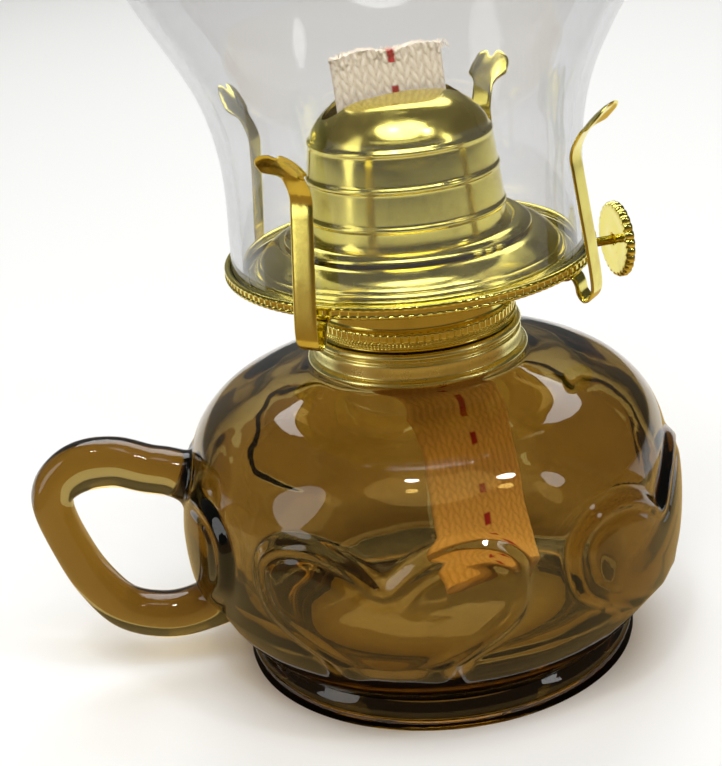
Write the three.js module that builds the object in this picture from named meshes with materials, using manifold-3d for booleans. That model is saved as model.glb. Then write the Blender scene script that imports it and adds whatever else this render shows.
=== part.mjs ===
// Oil lamp: a pressed glass font with hearts in relief, a flat wick burner and a glass chimney.
// Millimetres, +Z up. The lamp's axis is Z and it stands on z = 0. The wick's width and the
// wick raiser's spindle lie along X, and the thumb wheel is at +X.
import * as THREE from 'three';
import { mergeVertices } from 'three/addons/utils/BufferGeometryUtils.js';
import Module from 'manifold-3d';

const wasm = await Module();
wasm.setup();

// ---- driving dimensions -------------------------------------------------------------------
const fontRadius = 53.6; // widest point of the glass body, over a heart
const fontHeight = 67.1; // floor to the ledge under the collar
const wickWidth = 23.6; // flat one-inch wick
const wickThickness = 3.0;
const shaftRadius = 1.0;
const chimneyRadius = 36.4; // outside of the chimney's base
const chimneyHeight = 216.0;
const handleTurn = -8.5; // degrees from the burner's X axis to the handle's plane

// ---- clearances and stock -----------------------------------------------------------------
const gap = 0.3; // between pieces that touch
const sheet = 0.6; // brass sheet of the burner
const glass = 2.2; // chimney wall
const chimneySlack = 0.5; // chimney base to the gallery's rim
const rimWidth = 1.7;
const wickSlack = 1.6; // wick's edge to the tube, on each side

// ---- fits worked out from them ------------------------------------------------------------
const threadRadius = wickWidth / 2 + 4.1; // screw of the burner, 1 1/4 inch on a one-inch wick
const sleeveBore = threadRadius - 0.8;
const collarBore = threadRadius + gap;
const neckBore = collarBore + 0.7 + gap;
const neckRadius = neckBore + 2.6;
const cementWall = 0.8;
const collarSkirt = neckRadius + cementWall + 2 * gap;
const collarRadius = collarSkirt + 0.8;
const shellRadius = threadRadius + 4.4;
const domeRadius = threadRadius + 4.5;
const seatInner = chimneyRadius - 3.4;
const seatOuter = chimneyRadius + chimneySlack;
const galleryRadius = seatOuter + rimWidth;

const collarZ = fontHeight + gap;
const collarTop = collarZ + 6.7;
const neckTop = collarTop - 0.8 - gap;
const burnerZ = collarTop + gap;
const shellTop = burnerZ + 12.2;
const seatZ = burnerZ + 13.2; // underside of the chimney seat
const chimneyZ = seatZ + sheet + gap;
const domeZ = burnerZ + 19.7;
const domeHeight = 30.2;

const tubeInside = { width: wickWidth + 2 * wickSlack, depth: wickThickness + 1.0 };
const tubeWall = 0.5;
const tubeHalfDepth = tubeInside.depth / 2 + tubeWall;
const shaftY = tubeHalfDepth + 2.3;
const shaftZ = burnerZ + 7.6;
const spurRadius = shaftY - wickThickness / 2 - gap - 0.05;
const shaftBore = shaftRadius + gap;
const thumbX = galleryRadius + 8.2;
const thumbDepth = 2.2;
const thumbRadius = 8.35;

// ---- materials ----------------------------------------------------------------------------
const material = (color, roughness, metalness) =>
  new THREE.MeshStandardMaterial({ color, roughness, metalness });
const amberGlass = () => material('#8c6c2c', 0.06, 0);
const clearGlass = () => material('#c9c6d0', 0.05, 0);
const brass = () => material('#b79a3e', 0.22, 1);
const plaster = () => material('#d8d2c4', 0.9, 0);
const cotton = () => material('#dccfae', 0.95, 0);

// ---- solids -------------------------------------------------------------------------------

// A closed geometry becomes a solid: vertices merged, empty triangles dropped, faces out.
function solid(geometry) {
  geometry.deleteAttribute('normal');
  geometry.deleteAttribute('uv');
  const merged = mergeVertices(geometry, 1e-4);
  const points = merged.attributes.position.array;
  const index = merged.index.array;
  const triangles = [];
  let volume = 0;
  const corner = [new THREE.Vector3(), new THREE.Vector3(), new THREE.Vector3()];
  for (let i = 0; i < index.length; i += 3) {
    const ids = [index[i], index[i + 1], index[i + 2]];
    if (new Set(ids).size < 3) continue;
    triangles.push(ids);
    ids.forEach((id, k) => corner[k].fromArray(points, 3 * id));
    volume += corner[0].dot(corner[1].clone().cross(corner[2]));
  }
  const facing = volume < 0 ? triangles.map(([a, b, c]) => [a, c, b]) : triangles;
  return new wasm.Manifold(new wasm.Mesh({
    numProp: 3,
    vertProperties: new Float32Array(points),
    triVerts: new Uint32Array(facing.flat()),
  }));
}

// A profile of [radius, height] points turned round Z. It starts and ends on the axis, or
// closes on itself.
function turned(profile, segments = 40) {
  const onAxis = profile[0][0] === 0;
  const outline = onAxis ? profile : [...profile, profile[0]];
  const points = outline.map(([r, z]) => new THREE.Vector2(r, z));
  return new THREE.LatheGeometry(points, segments).rotateX(Math.PI / 2);
}

// A smooth run of [radius, height] points through the given ones.
function smooth(points, count) {
  const curve = new THREE.CatmullRomCurve3(points.map(([r, z]) => new THREE.Vector3(r, z, 0)));
  return curve.getPoints(count).map((p) => [p.x, p.y]);
}

// Rings of equal length joined into one closed surface with flat ends.
function loft(rings) {
  const size = rings[0].length;
  const positions = rings.flat().flatMap((p) => [p.x, p.y, p.z]);
  const index = [];
  for (let i = 0; i + 1 < rings.length; i += 1) {
    for (let k = 0; k < size; k += 1) {
      const a = i * size + k;
      const b = i * size + ((k + 1) % size);
      index.push(a, b, a + size, b, b + size, a + size);
    }
  }
  const last = (rings.length - 1) * size;
  for (let k = 1; k + 1 < size; k += 1) {
    index.push(0, k + 1, k, last, last + k, last + k + 1);
  }
  const geometry = new THREE.BufferGeometry();
  geometry.setAttribute('position', new THREE.Float32BufferAttribute(positions, 3));
  geometry.setIndex(index);
  return geometry;
}

function cylinder(radius, length, segments = 20) {
  return new THREE.CylinderGeometry(radius, radius, length, segments).rotateX(Math.PI / 2);
}

// A cylinder along X between two places.
function rod(radius, from, to, segments = 20) {
  const bar = new THREE.CylinderGeometry(radius, radius, to - from, segments);
  return bar.rotateZ(-Math.PI / 2).translate((from + to) / 2, shaftY, shaftZ);
}

function box(width, depth, height, x, y, z) {
  return new THREE.BoxGeometry(width, depth, height).translate(x, y, z);
}

// A rectangle with round ends along X.
function slotShape(width, depth) {
  const half = width / 2 - depth / 2;
  const shape = new THREE.Shape();
  shape.absarc(half, 0, depth / 2, -Math.PI / 2, Math.PI / 2, false);
  shape.absarc(-half, 0, depth / 2, Math.PI / 2, 1.5 * Math.PI, false);
  return shape;
}

function slotPrism(width, depth, from, to) {
  const options = { depth: to - from, bevelEnabled: false, curveSegments: 8 };
  return new THREE.ExtrudeGeometry(slotShape(width, depth), options).translate(0, 0, from);
}

// ---- font: body with hearts, foot, neck and handle -----------------------------------------
const heartCount = 5;
const heartRise = 2.2;
const heartEdge = 3.6; // width of the rounded edge round a heart
const heartHalf = [
  [0, 40.3], [6, 45.2], [14, 48.2], [22.5, 47.2], [28, 42.5],
  [29, 36], [26.5, 28.5], [18, 22], [9, 17], [0, 14.8],
]; // [along the body, height], from the notch round one lobe to the foot of the heart

const heartOutline = (() => {
  const half = smooth(heartHalf, 30).map(([x, z]) => [x, (z * fontHeight) / 67.1]);
  const mirrored = half.slice(1, -1).reverse().map(([x, z]) => [-x, z]);
  return [...half, ...mirrored];
})();

// Distance from a point inside the heart to its outline, and 0 outside.
function depthInHeart(x, z) {
  let inside = false;
  let nearest = Infinity;
  heartOutline.forEach(([x1, z1], i) => {
    const [x2, z2] = heartOutline[(i + 1) % heartOutline.length];
    if (z1 > z !== z2 > z && x < ((x2 - x1) * (z - z1)) / (z2 - z1) + x1) inside = !inside;
    const [dx, dz] = [x2 - x1, z2 - z1];
    const along = ((x - x1) * dx + (z - z1) * dz) / (dx * dx + dz * dz);
    const t = THREE.MathUtils.clamp(along, 0, 1);
    nearest = Math.min(nearest, Math.hypot(x - x1 - t * dx, z - z1 - t * dz));
  });
  return inside ? nearest : 0;
}

// How far the glass stands out at an angle round the body, measured from the handle.
function heartRelief(angle, z) {
  const pitch = (2 * Math.PI) / heartCount;
  const offset = angle - Math.PI - pitch * Math.round((angle - Math.PI) / pitch);
  const depth = depthInHeart(offset * (fontRadius - heartRise), z);
  return heartRise * THREE.MathUtils.smoothstep(depth, 0, heartEdge);
}

function fontBody() {
  const body = [
    [51.3, 20], [52.0, 27], [52.2, 34], [51.9, 41], [51.0, 48], [48.4, 54], [43.9, 58.8],
    [37.6, 62], [31, 64], [26, 65.4],
  ];
  const foot = [
    [0, 5], [28, 4.8], [34.8, 3.6], [36.4, 0], [43, 0], [42.7, 5], [41.2, 6.2], [44.2, 9],
    [48.0, 14],
  ];
  const scale = ([r, z]) => [(r * fontRadius) / 53.6, (z * fontHeight) / 67.1];
  const profile = [
    ...foot.map(scale),
    ...smooth(body.map(scale), 15),
    [collarRadius + 0.7, fontHeight - 0.6], [collarRadius + 0.3, fontHeight],
    [neckRadius, fontHeight], [neckRadius, neckTop], [0, neckTop],
  ];
  const geometry = turned(profile, 14 * heartCount);
  const position = geometry.attributes.position;
  for (let i = 0; i < position.count; i += 1) {
    const [x, y, z] = [position.getX(i), position.getY(i), position.getZ(i)];
    const radius = Math.hypot(x, y);
    if (radius < fontRadius * 0.8) continue;
    const grown = 1 + heartRelief(Math.atan2(y, x), z) / radius;
    position.setXY(i, x * grown, y * grown);
  }
  return solid(geometry);
}

function fontCavity() {
  const wall = [
    [neckBore + 0.6, 64.5], [24, 61.2], [34, 58], [42, 53], [46.4, 46], [48, 38], [47.6, 30],
    [45.2, 21], [40, 14], [31, 10.4], [17, 9.2],
  ];
  const scale = ([r, z]) => [(r * fontRadius) / 53.6, (z * fontHeight) / 67.1];
  const floor = (9 * fontHeight) / 67.1;
  const profile = [
    [0, neckTop + 2], [neckBore, neckTop + 2], [neckBore, fontHeight - 1],
    ...smooth(wall.map(scale), 11), [0, floor],
  ];
  return solid(turned(profile, 36));
}

// The handle: a loop of round glass on the -X side, thicker where it joins the body.
function handle() {
  const reach = fontRadius / 53.6;
  const rise = fontHeight / 67.1;
  const route = [
    [46.5, 40], [53.5, 45.4], [60, 47.6], [67, 50.2], [74.5, 50], [80, 46.4], [81.1, 41],
    [78.6, 31.5], [75, 23], [69.3, 15.4], [61, 12.2], [53.5, 12.6], [46, 15.5],
  ];
  const curve = new THREE.CatmullRomCurve3(
    route.map(([r, z]) => new THREE.Vector3(-r * reach, 0, z * rise)), false, 'centripetal');
  const thick = (t) => 4.1 + 1.6 * Math.abs(2 * t - 1) ** 1.5 + 0.9 * Math.exp(-(((t - 0.3) / 0.1) ** 2));
  const wide = (t) => 4.9 + 2.6 * Math.abs(2 * t - 1) ** 8;
  const steps = 26;
  const rings = [];
  for (let i = 0; i <= steps; i += 1) {
    const t = i / steps;
    const centre = curve.getPointAt(t);
    const along = curve.getTangentAt(t);
    const side = new THREE.Vector3(0, 1, 0);
    const out = along.clone().cross(side).normalize();
    const ring = [];
    for (let k = 0; k < 12; k += 1) {
      const a = (k / 12) * 2 * Math.PI;
      ring.push(centre.clone().addScaledVector(side, wide(t) * Math.cos(a))
        .addScaledVector(out, thick(t) * Math.sin(a)));
    }
    rings.push(ring);
  }
  return solid(loft(rings));
}

const font = () => fontBody().add(handle()).subtract(fontCavity());

// ---- collar and cement ---------------------------------------------------------------------
function collar() {
  const z = collarZ;
  return solid(turned([
    [collarSkirt, z], [collarRadius + 1.1, z], [collarRadius + 1.3, z + 0.6],
    [collarRadius + 0.8, z + 1.1], [collarRadius, z + 1.3], [collarRadius, z + 4.2],
    [collarRadius - 0.5, z + 4.7], [collarRadius - 0.5, z + 5.1], [collarRadius + 0.1, z + 5.7],
    [collarRadius - 0.1, z + 6.4], [collarRadius - 0.6, collarTop], [collarBore, collarTop],
    [collarBore, z - 1.2], [collarBore + 0.7, z - 1.2], [collarBore + 0.7, collarTop - 0.8],
    [collarSkirt, collarTop - 0.8],
  ]));
}

function cement() {
  const inner = neckRadius + gap;
  const base = fontHeight + gap;
  const top = collarTop - 0.8 - gap;
  return solid(turned([
    [inner, base], [inner + cementWall, base], [inner + cementWall, top], [inner, top],
  ], 36));
}

// ---- burner body ---------------------------------------------------------------------------
function burnerShell() {
  const z = burnerZ;
  const wall = shellRadius;
  const shell = solid(turned([
    [threadRadius, z - 9.4], [threadRadius, z], [wall + 0.9, z], [wall + 1.1, z + 0.5],
    [wall + 0.8, z + 3.9], [wall, z + 4.5], [wall, z + 10.2], [wall + 0.9, z + 11.3],
    [wall + 4.3, z + 11.6], [wall + 4.3, shellTop], [wall + 0.4, shellTop - 0.1],
    [wall - sheet, z + 10.6], [wall - sheet, z + 4.2], [wall + 0.2, z + 3.6],
    [wall + 0.4, z + 0.9], [sleeveBore, z + 0.7], [sleeveBore, z - 9.4],
  ]));
  const hole = solid(rod(bushRadius + gap, wall - 4, wall + 4));
  return shell.subtract(hole);
}

const bushRadius = shaftRadius + 1.6;
function shaftBush() {
  const bush = solid(rod(bushRadius, shellRadius - 2.4, shellRadius + 2));
  const lip = solid(rod(bushRadius + 0.9, shellRadius + 0.5, shellRadius + 2));
  return bush.add(lip).subtract(solid(rod(shaftBore, shellRadius - 5, shellRadius + 5)));
}

// The floor plate closes the shell under the spindle and holds the wick tube.
const floorZ = burnerZ + 1.5;
const floorTop = floorZ + 0.8;
function burnerFloor() {
  const radius = shellRadius - gap - 0.25;
  const plate = solid(cylinder(radius, 0.8, 36).translate(0, 0, floorZ + 0.4));
  const width = tubeInside.width + 2 * (tubeWall + gap);
  const depth = 2 * (tubeHalfDepth + gap);
  return plate.subtract(solid(slotPrism(width, depth, floorZ - 1, floorTop + 1)));
}

const tubeTop = domeZ + 23.4;
const spurPlaces = [-1.5, -0.5, 0.5, 1.5].map((step) => step * 0.22 * wickWidth);
function wickTube() {
  const outside = { width: tubeInside.width + 2 * tubeWall, depth: 2 * tubeHalfDepth };
  const from = floorZ - 0.6;
  const body = solid(slotPrism(outside.width, outside.depth, from, tubeTop));
  let tube = body.subtract(
    solid(slotPrism(tubeInside.width, tubeInside.depth, from - 1, tubeTop + 1)));
  const height = 2 * Math.sqrt(spurRadius ** 2 - (shaftY - tubeHalfDepth) ** 2) + 6.4;
  for (const x of spurPlaces) {
    tube = tube.subtract(solid(box(2.2, 2, height - 2, x, tubeHalfDepth - 0.2, shaftZ)));
  }
  return tube;
}

// A bent bracket stands on the floor plate and carries the spindle behind the wick tube.
function shaftBracket() {
  const inner = wickWidth / 2 - 0.7;
  const base = floorTop + gap;
  const top = shaftZ + shaftBore + 1.4;
  const depth = 4.6;
  const y = tubeHalfDepth + 0.4 + depth / 2;
  const cheek = (side) =>
    solid(box(0.8, depth, top - base, side * (inner + 0.4), y, (top + base) / 2));
  const foot = solid(box(2 * inner + 0.8, depth, sheet, 0, y, base + sheet / 2));
  return foot.add(cheek(-1)).add(cheek(1))
    .subtract(solid(rod(shaftBore, -inner - 3, inner + 3)));
}

// ---- wick raiser ---------------------------------------------------------------------------
const shaft = () => solid(rod(shaftRadius, -wickWidth / 2 - 0.7, thumbX + 2.2, 16));

// A star outline with pointed or rounded teeth, with a bore for the spindle.
function toothed(outer, root, teeth, bore) {
  const shape = new THREE.Shape();
  for (let i = 0; i < 2 * teeth; i += 1) {
    const radius = i % 2 ? root : outer;
    const angle = (i / teeth) * Math.PI;
    const point = [radius * Math.cos(angle), radius * Math.sin(angle)];
    if (i) shape.lineTo(...point);
    else shape.moveTo(...point);
  }
  shape.closePath();
  shape.holes.push(new THREE.Path().absarc(0, 0, bore, 0, 2 * Math.PI, true));
  return shape;
}

function acrossX(shape, x, thickness) {
  const options = { depth: thickness, bevelEnabled: false, curveSegments: 8 };
  const geometry = new THREE.ExtrudeGeometry(shape, options);
  return geometry.rotateZ(Math.PI / 2).rotateY(Math.PI / 2).translate(x, shaftY, shaftZ);
}

const spurWheel = (x) =>
  solid(acrossX(toothed(spurRadius, 0.72 * spurRadius, 8, shaftBore), x - 0.4, 0.8));

function thumbWheel() {
  const blank = solid(acrossX(toothed(thumbRadius, 0.93 * thumbRadius, 26, shaftBore), thumbX, thumbDepth));
  const dish = solid(rod(0.78 * thumbRadius, thumbX + 1.0, thumbX + thumbDepth + 1, 36));
  const hub = solid(rod(shaftBore + 1.4, thumbX + 0.5, thumbX + 2.0));
  const bore = solid(rod(shaftBore, thumbX - 1, thumbX + thumbDepth + 1));
  return blank.subtract(dish).add(hub).subtract(bore);
}

// ---- gallery, air dish, prongs and dome ----------------------------------------------------
const prongAngles = [45, 135, 225, 315];
const rivetX = chimneyRadius - 1.4;
const rivetRadius = 0.9;

function gallery() {
  const z = seatZ;
  const lip = domeRadius + 4.6;
  const slope = seatInner - lip;
  let deck = solid(turned([
    [lip, z + 5.6], [lip + 0.3 * slope, z + 5.0], [lip + 0.65 * slope, z + 3.3],
    [lip + 0.88 * slope, z + 1.3], [seatInner, z], [seatOuter + 0.4, z],
    [galleryRadius - 0.5, z + 0.4], [galleryRadius, z + 1.3], [galleryRadius - 0.5, z + 2.2],
    [galleryRadius - 1.1, z + 2.3], [galleryRadius - 1.5, z + 1.6], [seatOuter, z + sheet],
    [seatInner + 0.4, z + sheet], [seatInner - 0.4, z + 1.6], [lip + 0.7 * slope, z + 3.8],
    [lip + 0.33 * slope, z + 5.6], [lip, z + 6.2],
  ], 48));
  for (const angle of prongAngles) {
    const hole = cylinder(rivetRadius + gap, 4, 12).translate(rivetX, 0, z);
    deck = deck.subtract(solid(hole.rotateZ(THREE.MathUtils.degToRad(angle))));
  }
  return deck;
}

// A pierced dish carries the gallery on the shell and lets air up to the flame.
function airDish() {
  const z = seatZ - gap;
  const inner = shellRadius + 0.3;
  const flat = shellRadius + 4.4;
  let dish = solid(turned([
    [inner, z - 0.4], [flat, z - 0.4], [flat + 1.4, z - 1.6], [seatInner - 2.2, z - 1.6],
    [seatInner - 0.9, z - sheet], [seatInner, z - sheet], [seatInner, z], [seatInner - 1.2, z],
    [seatInner - 2.5, z - 1.0], [flat + 1.7, z - 1.0], [flat + 0.2, z + 0.2], [inner, z + 0.2],
  ]));
  const ring = (flat + 1.6 + seatInner - 2.4) / 2;
  const holes = 24;
  for (let i = 0; i < holes; i += 1) {
    const hole = cylinder(0.9, 4, 6).translate(ring, 0, z - 1.3);
    dish = dish.subtract(solid(hole.rotateZ((i / holes) * 2 * Math.PI)));
  }
  return dish;
}

// A prong is a brass strip: riveted foot, return bend below the rim, sprung leg, spoon tip.
function prong() {
  const thick = 0.7;
  const footZ = seatZ - gap - thick / 2;
  const r = chimneyRadius;
  const route = [
    [r - 2.6, 0], [r + 0.4, 0], [r + 1.6, -1.4], [r + 2.1, -3.6], [r + 3.3, -4.9],
    [r + 4.7, -3.8], [r + 5.1, -1.2], [r + 4.3, 6], [r + 3.2, 14], [r + 2.3, 20.5],
    [r + 1.9, 24.4], [r + 3.3, 27.8], [r + 6.2, 31.5], [r + 9.6, 34.6],
  ];
  const curve = new THREE.CatmullRomCurve3(
    route.map(([x, z]) => new THREE.Vector3(x, 0, footZ + z)), false, 'centripetal');
  const tip = (t) => (t < 0.84 ? 0 : 2.5 * Math.sin(((t - 0.84) / 0.16) * 2.3));
  const steps = 28;
  const rings = [];
  for (let i = 0; i <= steps; i += 1) {
    const t = i / steps;
    const centre = curve.getPointAt(t);
    const out = curve.getTangentAt(t).cross(new THREE.Vector3(0, 1, 0)).normalize();
    const half = 2.5 + tip(t);
    rings.push([[1, 1], [-1, 1], [-1, -1], [1, -1]].map(([s, u]) =>
      centre.clone().add(new THREE.Vector3(0, s * half, 0)).addScaledVector(out, (u * thick) / 2)));
  }
  const hole = solid(cylinder(rivetRadius + gap, 3, 12).translate(rivetX, 0, footZ));
  return solid(loft(rings)).subtract(hole);
}

function prongRivet() {
  const head = seatZ - 2 * gap - 0.7;
  const profile = [
    [0, head - 0.9], [1.0, head - 0.8], [1.5, head - 0.2], [1.5, head], [rivetRadius, head],
    [rivetRadius, seatZ + sheet - 0.05], [0, seatZ + sheet - 0.05],
  ];
  return solid(turned(profile, 12)).translate([rivetX, 0, 0]);
}

// The dome: a drum with three raised rings, a rounded top and the slot for the flame.
function dome() {
  const scale = domeRadius / 20.4;
  const drum = (z) => domeRadius - 0.5 * (z / 6) ** 1.15;
  const rings = [5.2, 12.9, 20.2].flatMap((z) => [
    [drum(z), z - 1.3], [drum(z) + 0.7, z], [drum(z), z + 1.3],
  ]);
  const crown = [[17.3, 22.8], [15.1, 25.6], [11.5, 28.0], [6.2, 29.7]].map(([r, z]) => [r * scale, z]);
  const profile = [
    [0, domeHeight - sheet], ...crown.map(([r, z]) => [r - 0.4, z - sheet]).reverse(),
    [drum(19.6) - sheet, 19.6], [drum(9) - sheet, 9], [domeRadius - sheet, 1.4],
    [domeRadius + 0.6, 0], [domeRadius + 5.2, 0], [domeRadius + 5.2, sheet],
    [domeRadius + 1.2, sheet], [domeRadius + 0.3, 1.6], ...rings, ...crown, [0, domeHeight],
  ];
  const shell = solid(turned(profile.map(([r, z]) => [r, z + domeZ]), 36));
  const slot = slotPrism(wickWidth + 7.4, wickThickness + 4, domeZ + 15, domeZ + 40);
  return shell.subtract(solid(slot));
}

// ---- wick and chimney ----------------------------------------------------------------------

// The wick stands in its tube. Below it, the tail twists and curves to one side inside the font.
const wickTop = domeZ + domeHeight + 7.7;
const wickTwist = 16; // degrees, at the tail
function wick() {
  const rise = fontHeight / 67.1;
  const route = [
    [-0.7, 0, wickTop], [-0.7, 0, burnerZ + 26], [-0.7, 0, burnerZ - 2], [-0.4, 0, burnerZ - 9],
    [1.6, -0.4, 60 * rise], [5.2, -1.4, 54 * rise], [7.8, -3.2, 47 * rise],
    [8.0, -8, 37.5 * rise], [6.6, -16, 31 * rise], [4.8, -25, 28.4 * rise],
  ];
  const curve = new THREE.CatmullRomCurve3(
    route.map((p) => new THREE.Vector3(...p)), false, 'centripetal');
  const steps = 34;
  const rings = [];
  for (let i = 0; i <= steps; i += 1) {
    const t = i / steps;
    const centre = curve.getPointAt(t);
    const along = curve.getTangentAt(t);
    const low = THREE.MathUtils.smoothstep(burnerZ - 9 - centre.z, 0, 22 * rise);
    const twist = THREE.MathUtils.degToRad(wickTwist) * low;
    const side = new THREE.Vector3(Math.cos(twist), Math.sin(twist), 0);
    const face = along.clone().cross(side).normalize();
    rings.push([[1, 1], [-1, 1], [-1, -1], [1, -1]].map(([s, u]) =>
      centre.clone().addScaledVector(side, (s * wickWidth) / 2)
        .addScaledVector(face, (u * wickThickness) / 2)));
  }
  return solid(loft(rings));
}

// The chimney: a fitter base in the gallery, a waist, a bulb and a long neck.
function chimney() {
  const stations = [
    [37, 0], [36.7, 8.5], [36.4, 17.5], [36.8, 24.5], [38, 31.5], [40.2, 38.5], [43.6, 45.5],
    [47.5, 52.5], [51, 59.5], [54, 68], [55.4, 78], [54.4, 90], [50.6, 104], [45.4, 120],
    [39.8, 138], [34.6, 156], [30.4, 174], [27.8, 192], [26.6, 216],
  ];
  const scale = ([r, z]) => [(r * chimneyRadius) / 37, (z * chimneyHeight) / 216];
  const outside = smooth(stations.map(scale), 18);
  const inside = outside.map(([r, z]) => [r - glass, z]).reverse();
  const profile = [...outside, ...inside].map(([r, z]) => [r, z + chimneyZ]);
  return solid(turned(profile, 36));
}

// ---- assembly ------------------------------------------------------------------------------
const lamp = new THREE.Group();

function place(name, part, finish, parent = lamp) {
  const { vertProperties, triVerts } = part.getMesh();
  const geometry = new THREE.BufferGeometry();
  geometry.setAttribute('position', new THREE.Float32BufferAttribute(vertProperties, 3));
  geometry.setIndex(new THREE.Uint32BufferAttribute(triVerts, 1));
  geometry.computeVertexNormals();
  const mesh = new THREE.Mesh(geometry, finish);
  mesh.name = name;
  parent.add(mesh);
  return mesh;
}

place('font', font(), amberGlass()).rotation.z = THREE.MathUtils.degToRad(handleTurn);
place('collar_cement', cement(), plaster());
place('collar', collar(), brass());
place('burner_shell', burnerShell(), brass());
place('burner_floor', burnerFloor(), brass());
place('wick_tube', wickTube(), brass());
place('shaft_bracket', shaftBracket(), brass());
place('shaft_bush', shaftBush(), brass());
place('wick_shaft', shaft(), brass());
spurPlaces.forEach((x, i) => place(`spur_wheel_${i + 1}`, spurWheel(x), brass()));
place('thumb_wheel', thumbWheel(), brass());
place('air_dish', airDish(), brass());
place('gallery', gallery(), brass());
prongAngles.forEach((angle, i) => {
  const corner = new THREE.Group();
  corner.rotation.z = THREE.MathUtils.degToRad(angle);
  place(`prong_${i + 1}`, prong(), brass(), corner);
  place(`prong_rivet_${i + 1}`, prongRivet(), brass(), corner);
  lamp.add(corner);
});
place('dome', dome(), brass());
place('wick', wick(), cotton());
place('chimney', chimney(), clearGlass());

export default lamp;
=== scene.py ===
"""Oil lamp with a pressed glass font, a flat wick burner and a glass chimney.

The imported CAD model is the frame. Lengths in this file are millimetres until a mesh is made.
"""
from __future__ import annotations

import logging
import math
from dataclasses import dataclass, field
from enum import Enum
from typing import Callable, Optional, Sequence

import bmesh
import bpy
import numpy as np
from mathutils import Matrix, Vector


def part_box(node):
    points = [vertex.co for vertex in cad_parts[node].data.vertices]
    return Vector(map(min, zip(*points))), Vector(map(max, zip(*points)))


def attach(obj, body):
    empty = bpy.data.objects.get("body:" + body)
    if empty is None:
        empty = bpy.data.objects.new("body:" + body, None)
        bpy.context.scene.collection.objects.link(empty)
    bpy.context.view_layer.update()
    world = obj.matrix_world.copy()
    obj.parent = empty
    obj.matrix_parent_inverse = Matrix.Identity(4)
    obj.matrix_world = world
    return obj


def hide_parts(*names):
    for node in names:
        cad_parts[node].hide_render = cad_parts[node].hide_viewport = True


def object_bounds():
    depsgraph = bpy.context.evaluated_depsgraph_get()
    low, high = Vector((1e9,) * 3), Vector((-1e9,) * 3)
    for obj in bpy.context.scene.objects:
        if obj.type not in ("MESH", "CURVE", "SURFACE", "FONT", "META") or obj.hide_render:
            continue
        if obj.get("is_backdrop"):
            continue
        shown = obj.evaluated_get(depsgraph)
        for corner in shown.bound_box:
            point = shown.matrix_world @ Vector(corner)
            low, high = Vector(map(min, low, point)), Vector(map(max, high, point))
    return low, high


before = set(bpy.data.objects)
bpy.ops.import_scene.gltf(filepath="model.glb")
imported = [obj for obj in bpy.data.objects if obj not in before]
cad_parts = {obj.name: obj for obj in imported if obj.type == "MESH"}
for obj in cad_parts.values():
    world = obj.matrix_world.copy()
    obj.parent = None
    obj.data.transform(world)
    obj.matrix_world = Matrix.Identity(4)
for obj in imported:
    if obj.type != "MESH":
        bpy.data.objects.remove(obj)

MM = 0.001
TURN = 2 * math.pi
SEAM = 1e-7
LOG = logging.getLogger("oil_lamp")
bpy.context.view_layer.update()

Grid = np.ndarray
Profile = np.ndarray


# ---------------------------------------------------------------------------------------------
# Curves and surfaces
# ---------------------------------------------------------------------------------------------
def smooth_run(points: Sequence[Sequence[float]], count: int) -> np.ndarray:
    """Carries a smooth curve through points.

    Each span is the cubic whose end slopes are half the chord between its neighbours, and the
    samples are then spaced evenly along the whole length.

    Args:
        points: Places to pass through, each with two or three coordinates.
        count: How many samples to return.

    Returns:
        An array of count places, first and last the same as in points.
    """
    knots = np.asarray(points, float)
    padded = np.vstack([2 * knots[0] - knots[1], knots, 2 * knots[-1] - knots[-2]])
    per_span = 40
    t = np.linspace(0, 1, per_span, endpoint=False)[None, :, None]
    a, b, c, d = (padded[i:len(padded) - 3 + i, None, :] for i in range(4))
    dense = 0.5 * (2 * b + (c - a) * t + (2 * a - 5 * b + 4 * c - d) * t**2
                   + (3 * b - a - 3 * c + d) * t**3)
    dense = np.vstack([dense.reshape(-1, knots.shape[1]), knots[-1:]])
    reach = np.concatenate([[0], np.cumsum(np.linalg.norm(np.diff(dense, axis=0), axis=1))])
    places = np.linspace(0, reach[-1], count)
    return np.stack([np.interp(places, reach, axis) for axis in dense.T], 1)


def smoothstep(value: np.ndarray) -> np.ndarray:
    """Eases 0 to 1 with level ends: 3v squared less 2v cubed, on v held within 0 and 1."""
    held = np.clip(value, 0, 1)
    return held * held * (3 - 2 * held)


def tangents(path: np.ndarray) -> np.ndarray:
    """Gives the unit direction along a path at each of its places."""
    along = np.gradient(path, axis=0)
    return along / np.linalg.norm(along, axis=1, keepdims=True)


def sheet_outline(middle: Profile, thickness: float, edge_points: int = 5) -> Profile:
    """Gives a sheet's middle line its thickness and two round edges.

    The outline is the line moved half the thickness along its normal, a half circle round the
    far end, the line moved the other way, and a half circle round the near end.

    Args:
        middle: Places [radius, height] along the sheet's middle.
        thickness: Sheet thickness.
        edge_points: Points on each half circle.

    Returns:
        A closed outline, its last point not repeating the first.
    """
    along = tangents(middle)
    normal = np.stack([-along[:, 1], along[:, 0]], 1)
    half = thickness / 2
    sweep = np.linspace(0, math.pi, edge_points + 2)[1:-1, None]
    far = middle[-1] + half * (np.cos(sweep) * normal[-1] + np.sin(sweep) * along[-1])
    near = middle[0] + half * (-np.cos(sweep) * normal[0] - np.sin(sweep) * along[0])
    return np.vstack([middle + half * normal, far, (middle - half * normal)[::-1], near])


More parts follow.
